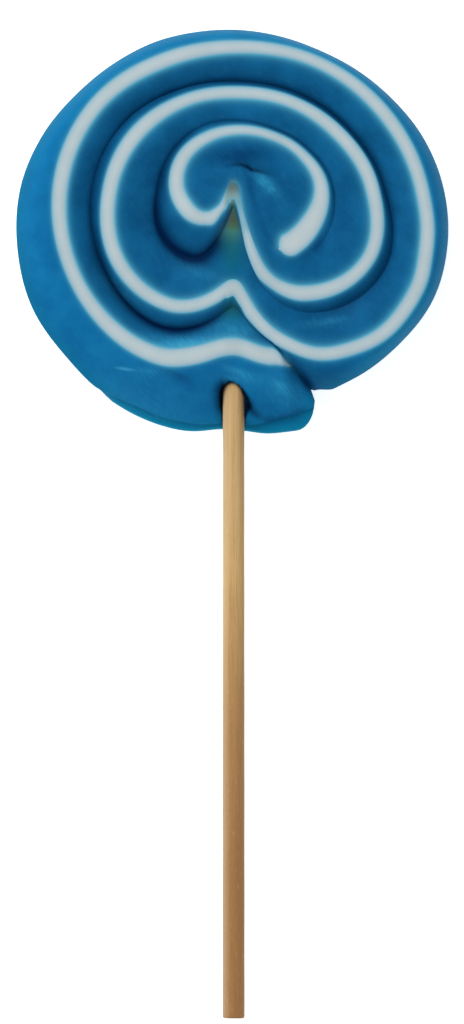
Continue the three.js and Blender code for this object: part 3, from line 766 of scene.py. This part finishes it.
class Finish:
    """A material and the nodes that make it."""

    def __init__(self, name):
        self.material = bpy.data.materials.new(name)
        self.material.use_nodes = True
        self.tree = self.material.node_tree
        self.tree.nodes.clear()
        out = self.tree.nodes.new("ShaderNodeOutputMaterial")
        self.shader = self.tree.nodes.new("ShaderNodeBsdfPrincipled")
        self.join(self.shader.outputs[0], out.inputs[0])

    def join(self, a, b):
        self.tree.links.new(a, b)

    def mark(self, name):
        node = self.tree.nodes.new("ShaderNodeAttribute")
        node.attribute_name = name
        return node.outputs["Fac"]

    def put(self, socket, value):
        if isinstance(value, bpy.types.NodeSocket):
            self.join(value, socket)
        else:
            socket.default_value = value

    def blend(self, share, a, b):
        node = self.tree.nodes.new("ShaderNodeMix")
        node.data_type = "RGBA"
        self.put(node.inputs[0], share)
        self.put(node.inputs[6], a)
        self.put(node.inputs[7], b)
        return node.outputs[2]

    def tinge(self, body, name, most, colour):
        """The colour so far, turned by a mark towards another colour, at most by this share."""
        return self.blend(self.between(self.mark(name), 0.0, 1.0, 0.0, most), body, colour)

    def maths(self, how, a, b=0.0):
        node = self.tree.nodes.new("ShaderNodeMath")
        node.operation = how
        self.put(node.inputs[0], a)
        self.put(node.inputs[1], b)
        return node.outputs[0]

    def place(self, scale, turn=(0, 0, 0)):
        """Places on the piece in millimetres, stretched and turned for the noises."""
        where = self.tree.nodes.new("ShaderNodeTexCoord")
        mapping = self.tree.nodes.new("ShaderNodeMapping")
        mapping.vector_type = "TEXTURE"
        mapping.inputs["Rotation"].default_value = [math.radians(a) for a in turn]
        mapping.inputs["Scale"].default_value = [s * MM for s in scale]
        self.join(where.outputs["Object"], mapping.inputs["Vector"])
        return mapping.outputs[0]

    def noise(self, place, detail=3.0, rough=0.5):
        node = self.tree.nodes.new("ShaderNodeTexNoise")
        node.inputs["Scale"].default_value = 1.0
        node.inputs["Detail"].default_value = detail
        node.inputs["Roughness"].default_value = rough
        self.join(place, node.inputs["Vector"])
        return node.outputs["Fac"]

    def between(self, value, low, high, new_low=0.0, new_high=1.0):
        node = self.tree.nodes.new("ShaderNodeMapRange")
        node.inputs[1].default_value, node.inputs[2].default_value = low, high
        node.inputs[3].default_value, node.inputs[4].default_value = new_low, new_high
        self.join(value, node.inputs[0])
        return node.outputs[0]

    def ramp(self, value, stops):
        node = self.tree.nodes.new("ShaderNodeValToRGB")
        marks = node.color_ramp.elements
        while len(marks) < len(stops):
            marks.new(0.5)
        for element, (at, colour) in zip(marks, stops):
            element.position, element.color = at, colour
        self.join(value, node.inputs[0])
        return node.outputs[0]

    def spot(self, middle, size, lean):
        """A soft oval at a place on the face, one in its middle and nothing beyond its edge."""
        where = self.tree.nodes.new("ShaderNodeTexCoord")
        mapping = self.tree.nodes.new("ShaderNodeMapping")
        mapping.vector_type = "TEXTURE"
        mapping.inputs["Location"].default_value = [middle[0] * MM, middle[1] * MM, 0]
        mapping.inputs["Rotation"].default_value = [0, 0, math.radians(lean)]
        mapping.inputs["Scale"].default_value = [size[0] * MM, size[1] * MM, 1]
        self.join(where.outputs["Object"], mapping.inputs["Vector"])
        length = self.tree.nodes.new("ShaderNodeVectorMath")
        length.operation = "LENGTH"
        self.join(mapping.outputs[0], length.inputs[0])
        return self.between(length.outputs["Value"], 0.1, 1.0, 1.0, 0.0)

    def bump(self, height, distance, strength=1.0):
        node = self.tree.nodes.new("ShaderNodeBump")
        node.inputs["Strength"].default_value = strength
        node.inputs["Distance"].default_value = distance * MM
        self.join(height, node.inputs["Height"])
        self.join(node.outputs[0], self.shader.inputs["Normal"])

    def wear(self, piece):
        piece.data.materials.append(self.material)


# Clear blue sugar: deep where it is thick, turquoise where the white layer lights it from within,
# with fine diagonal streaks from the pulling. Painted shade darkens the grooves, creases, the lip
# and the stick hole, and painted highlights lighten where it glints and under the lip.
sugar = Finish("blue_boiled_sugar")
streaks = sugar.noise(sugar.place((0.34, 1.5, 1.5), (0, 0, 40)), 2.0)
cloud = sugar.noise(sugar.place((5, 5, 5)), 2.0)
inner_blue = sugar.blend(sugar.between(cloud, 0.35, 0.65), tint(13, 85, 131), tint(17, 97, 145))
outer_blue = sugar.blend(sugar.between(cloud, 0.35, 0.65), tint(14, 103, 157), tint(18, 114, 167))
body = sugar.blend(sugar.mark("outside"), inner_blue, outer_blue)
body = sugar.tinge(body, "shade", 0.65, tint(5, 54, 104))
body = sugar.tinge(body, "glow", 0.4, tint(12, 122, 164))
body = sugar.blend(sugar.between(streaks, 0.5, 0.75, 0.0, 0.06), body, tint(70, 150, 196))
# Painted highlights where the sugar glints, broken up by the streaks, then a painted sheen at the
# lower left.
streaky = sugar.between(streaks, 0.35, 0.65, 0.55, 1.0)
glinting = sugar.maths("MULTIPLY", sugar.mark("glint"), streaky)
body = sugar.blend(sugar.maths("MULTIPLY", glinting, 0.65), body, tint(56, 168, 210))
sheen = sugar.spot((-19.7, -25.2), (2.4, 0.45), -8)
body = sugar.blend(sugar.maths("MULTIPLY", sheen, 0.7), body, tint(64, 164, 206))
# The lip marks are painted shade below the seam and painted light under the lip, and the groove
# mark is painted shade.
for name, most, colour in (
        ("thin", 0.6, (10, 112, 146)), ("lip_dark", 0.6, (4, 92, 128)),
        ("lip_light", 0.7, (14, 144, 182)), ("near_layer", 0.9, (92, 174, 198)),
        ("groove", 0.94, (2, 24, 62))):
    body = sugar.tinge(body, name, most, tint(*colour))
stick_colour = sugar.ramp(sugar.mark("stick_place"), [
    (0.05, tint(18, 112, 150)), (0.12, tint(22, 108, 126)), (0.2, tint(26, 84, 82)),
    (0.26, tint(18, 98, 120)), (0.38, tint(14, 98, 132)), (0.48, tint(18, 100, 118)),
    (0.58, tint(30, 104, 98)), (0.66, tint(70, 124, 102)), (0.69, tint(76, 106, 66)),
    (0.73, tint(76, 88, 48)), (0.78, tint(70, 88, 62)), (0.81, tint(64, 110, 98)),
    (0.84, tint(96, 138, 126)), (0.92, tint(100, 134, 116))])
body = sugar.tinge(body, "stick_seen", 0.9, stick_colour)
# Painted shade in the hollows.
body = sugar.tinge(body, "painted_hollow_shade", 0.94, tint(3, 18, 44))
sugar.join(body, sugar.shader.inputs["Base Color"])
sugar.join(sugar.between(cloud, 0.3, 0.7, 0.42, 0.52), sugar.shader.inputs["Roughness"])
sugar.shader.inputs["Specular IOR Level"].default_value = 0.01
pits = sugar.noise(sugar.place((1.6, 1.6, 1.6)), 3.0)
sugar.bump(sugar.maths("ADD", sugar.maths("MULTIPLY", streaks, 0.6), pits), 0.04, 0.5)
sugar.wear(candy)
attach(candy, "root")
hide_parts("blue_candy")

# ---- White layer ----
# One flat layer of white pulled sugar, rolled up inside the rope before it was coiled. It runs
# through the rope from face to back, so its edge shows as the stripe of the swirl.

# The sections that cut the layer, and one more where it comes to an end.
nearly = open_slot.copy()
nearly[:-1] |= open_slot[1:]
nearly[1:] |= open_slot[:-1]
layer_angles = angles[nearly]
low, high, _ = layer_sides(layer_angles)
top, under = top_height(layer_angles), NOTCH_HEIGHT * tail_ending(layer_angles)
LAYER_STEPS, DOME = 14, 0.1
share = shares(LAYER_STEPS)
plan = across(low, high, share)
broad = np.minimum(np.linalg.norm(high - low, axis=-1)[:, None] / 2, 1)
dome = DOME * (1 - (2 * share[None] - 1) ** 2) * broad
layer_top = with_height(plan, handwork(plan, top[:, None] + dome))
layer_under = with_height(plan, under[:, None] + 0 * plan[..., 0])
skin = Skin()
skin.strip(layer_top)
skin.strip(layer_under[:, ::-1])
skin.strip(wall_rows(layer_top[:, -1], layer_under[:, -1]))
skin.strip(wall_rows(layer_under[:, 0], layer_top[:, 0]))
white = skin.piece("white_layer_skin", sharp=50)

# Marks that its colour follows: the blue beside it, the stick and its tip seen through it, and
# painted shade in the first cusp and on the leg beside it.
spots = corners_of(white)
x, y = spots.T[:2]
to_edge = np.minimum(distance_to(inner_tree, spots), distance_to(outer_tree, spots))
mark(white.data, "near_blue", soft_line(to_edge, 0.45, 1))
seen = smooth(2.2, 1.0, np.abs(x + 0.1)) * smooth(9.6, 8.6, y) * smooth(2.0, 5.5, y)
mark(white.data, "stick_seen", seen)
mark(white.data, "stick_tip", patch(x, y, (-0.3, 8.0), (0.6, 0.9)))
# Painted shade on the leg right of the first cusp.
leg = smooth(-1.0, 1.0, y) * smooth(10.5, 9.0, y) * smooth(0.3, 1.0, x) * smooth(5.0, 3.0, x)
mark(white.data, "leg", leg)
cusp = smooth(5.6, 8.2, y) * smooth(12, 10, y) * smooth(3.0, 1.5, np.abs(x + 0.3))
mark(white.data, "cusp_shade", cusp)
faint = smooth(2.6, 0.6, np.abs(x)) * smooth(2.0, 0.0, y)
faint = np.maximum(faint, 0.7 * patch(x, y, (5.6, -8.4), (4.5, 1.6), -50))
mark(white.data, "stick_faint", faint)

cream = Finish("white_pulled_sugar")
silk = cream.noise(cream.place((0.28, 1.5, 1.5), (0, 0, 40)), 2.0)
mottle = cream.noise(cream.place((3, 3, 3)), 2.0)
body = cream.blend(cream.between(mottle, 0.3, 0.7), tint(187, 200, 202), tint(193, 204, 206))
body = cream.blend(cream.between(silk, 0.45, 0.75, 0.0, 0.25), body, tint(198, 203, 203))
for name, most, colour in (
        ("stick_faint", 0.3, (160, 178, 176)), ("stick_seen", 0.75, (118, 150, 138)),
        ("stick_tip", 0.6, (150, 132, 84)), ("leg", 0.45, (96, 158, 170)),
        ("near_blue", 1.0, (88, 166, 194)), ("cusp_shade", 0.75, (60, 92, 98))):
    body = cream.tinge(body, name, most, tint(*colour))
cream.join(body, cream.shader.inputs["Base Color"])
cream.join(cream.between(mottle, 0.3, 0.7, 0.4, 0.5), cream.shader.inputs["Roughness"])
cream.shader.inputs["Specular IOR Level"].default_value = 0.08
cream.bump(silk, 0.03, 0.4)
cream.wear(white)
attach(white, "root")
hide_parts("white_layer")

# ---- Stick ----
# A thin dowel of birch, turned and tumbled so that its ends are rounded, with the grain along
# it. It was pushed into the soft candy from the foot and stands a little below its middle.

STICK_TIP, STICK_FOOT, STICK_HEIGHT = 8.7, -143.3, 4.9
FOOT_RADIUS, TIP_RADIUS, ROUNDING = 1.985, 1.965, 0.4
SIDES = 72
# Its rings lie closer together where it goes into the candy, from HOLE_FOOT to HOLE_TOP.
HOLE_FOOT, HOLE_TOP = -36, -26
bend = np.linspace(0, np.pi / 2, 7)
foot_end, tip_end = STICK_FOOT + ROUNDING, STICK_TIP - ROUNDING
between_ends = np.concatenate([
    np.linspace(foot_end, HOLE_FOOT, 60)[1:], np.linspace(HOLE_FOOT, HOLE_TOP, 70)[1:],
    np.linspace(HOLE_TOP, tip_end, 20)[1:-1]])
lengthwise = np.concatenate([
    STICK_FOOT + ROUNDING * (1 - np.cos(bend)), between_ends, tip_end + ROUNDING * np.sin(bend)])
end_inset = ROUNDING * np.concatenate([1 - np.sin(bend), 0 * between_ends, 1 - np.cos(bend)])
# It is a little thicker at the foot and not quite straight-sided.
girth = mix(FOOT_RADIUS, TIP_RADIUS, smooth(-120, -40, lengthwise))
girth = (girth + 0.01 * np.sin(lengthwise * 0.35) - end_inset)[:, None]
turned = np.linspace(0, 2 * np.pi, SIDES + 1)
ring = np.stack([
    girth * np.cos(turned), lengthwise[:, None] + 0 * turned,
    STICK_HEIGHT + girth * np.sin(turned)], axis=-1)
skin = Skin()
skin.strip(ring[:, ::-1])
for end, order in ((0, 1), (-1, -1)):
    centre = np.array([0, lengthwise[end], STICK_HEIGHT])
    inner = mix(centre, ring[end], 0.5)
    skin.strip(np.stack([ring[end], inner, centre + 0 * inner], axis=0)[::order])
stick = skin.piece("stick_skin", sharp=60)

# The light doesn't reach it under the arch of the hole, nor beside the candy on its right.
x, y, z = corners_of(stick).T
arch = np.hypot((x + 0.25) / 1.9, np.maximum(y + 30.4, 0) / 2.6)
under_arch = smooth(0.85, 1.1, arch) * smooth(-31.0, -29.6, y)
beside_candy = 0.6 * smooth(1.2, 2.0, x) * smooth(-36.5, -32.5, y)
mark(stick.data, "unlit", np.maximum(under_arch, beside_candy) * smooth(4.0, 5.5, z))

birch = Finish("birch_wood")
fibres = birch.noise(birch.place((0.22, 9, 0.22)), 3.0, 0.6)
bands = birch.noise(birch.place((1.1, 45, 1.1)), 2.0)
flecks = birch.noise(birch.place((0.12, 1.6, 0.12)), 2.0)
where = birch.tree.nodes.new("ShaderNodeSeparateXYZ")
birch.join(birch.place((1, 1, 1)), where.inputs[0])
sideways, along = where.outputs[0], where.outputs[1]
body = birch.ramp(birch.between(along, -143, -37), [
    (0.0, tint(168, 122, 76)), (0.25, tint(168, 122, 76)), (0.5, tint(180, 137, 88)),
    (0.75, tint(216, 178, 119)), (0.95, tint(216, 182, 128))])
body = birch.blend(birch.between(bands, 0.35, 0.7, 0.0, 0.5), body, tint(168, 118, 68))
body = birch.blend(birch.between(fibres, 0.48, 0.75, 0.0, 0.4), body, tint(140, 98, 58))
body = birch.blend(birch.between(flecks, 0.62, 0.75, 0.0, 0.35), body, tint(228, 196, 146))
# Painted light down the left side of the stick and painted shade down its right side.
body = birch.blend(birch.between(sideways, -0.6, -2.0, 0.0, 0.4), body, tint(214, 196, 160))
body = birch.blend(birch.between(sideways, 0.8, 2.0, 0.0, 0.35), body, tint(150, 118, 74))
body = birch.blend(birch.mark("unlit"), body, tint(14, 22, 34))
birch.join(body, birch.shader.inputs["Base Color"])
birch.join(birch.between(fibres, 0.3, 0.7, 0.5, 0.68), birch.shader.inputs["Roughness"])
birch.shader.inputs["Specular IOR Level"].default_value = 0.15
birch.bump(fibres, 0.06, 0.7)
birch.wear(stick)
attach(stick, "root")
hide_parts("stick")

# ---- Table, lights and camera ----
# The lollipop lies on a white table under a big soft lamp beyond its head, with weaker light
# from the other sides, and is looked at from straight above.

# In metres: half the width of the table, and the height of its top.
TABLE_HALF, TABLE_TOP = 1.0, -0.02 * MM
table_corners = [
    (x * TABLE_HALF, y * TABLE_HALF, TABLE_TOP) for x, y in ((-1, -1), (1, -1), (1, 1), (-1, 1))]
table_mesh = bpy.data.meshes.new("white_table")
table_mesh.from_pydata(table_corners, [], [(0, 1, 2, 3)])
table = bpy.data.objects.new("white_table", table_mesh)
bpy.context.collection.objects.link(table)
white_paint = Finish("white_table_top")
white_paint.shader.inputs["Base Color"].default_value = (0.9, 0.9, 0.9, 1)
white_paint.shader.inputs["Roughness"].default_value = 0.9
white_paint.shader.inputs["Specular IOR Level"].default_value = 0.0
white_paint.shader.inputs["Emission Color"].default_value = (1, 1, 1, 1)
white_paint.shader.inputs["Emission Strength"].default_value = 0.7
white_paint.wear(table)


def lamp(name, place, size, power):
    data = bpy.data.lights.new(name, "AREA")
    data.shape = "DISK"
    data.size = size
    data.energy = power
    light = bpy.data.objects.new(name, data)
    light.location = place
    light.rotation_euler = (Vector((0, 0, 0)) - Vector(place)).to_track_quat("-Z", "Y").to_euler()
    bpy.context.collection.objects.link(light)


lamp("lamp_beyond", (-0.25, 0.7, 0.75), 0.5, 7.0)
lamp("lamp_foot", (0.1, -0.9, 0.8), 0.8, 2.5)
lamp("lamp_left", (-0.9, 0.0, 0.7), 0.6, 2.5)
world = bpy.data.worlds.new("studio")
world.use_nodes = True
sky = world.node_tree.nodes["Background"]
sky.inputs["Color"].default_value = (0.8, 0.85, 0.9, 1)
sky.inputs["Strength"].default_value = 0.38
bpy.context.scene.world = world
bpy.context.scene.view_settings.view_transform = "Standard"

# The picture's size in pixels, where the origin falls in it, and how long one pixel is at the
# height where its scale is true.
PICTURE_WIDTH, PICTURE_HEIGHT = 464, 1024
ORIGIN_ACROSS, ORIGIN_DOWN = 233.6, 230.4
PIXEL = MM / 5.5
SCALE_HEIGHT = 6.5 * MM
CAMERA_DISTANCE, SENSOR = 4.0, 36
camera_data = bpy.data.cameras.new("camera")
camera = bpy.data.objects.new("camera", camera_data)
bpy.context.collection.objects.link(camera)
camera.location = (
    (PICTURE_WIDTH / 2 - ORIGIN_ACROSS) * PIXEL, (ORIGIN_DOWN - PICTURE_HEIGHT / 2) * PIXEL,
    CAMERA_DISTANCE + SCALE_HEIGHT)
camera_data.sensor_width = SENSOR
camera_data.lens = SENSOR * CAMERA_DISTANCE / (PICTURE_HEIGHT * PIXEL)
camera_data.clip_start, camera_data.clip_end = 0.05, 20
bpy.context.scene.camera = camera
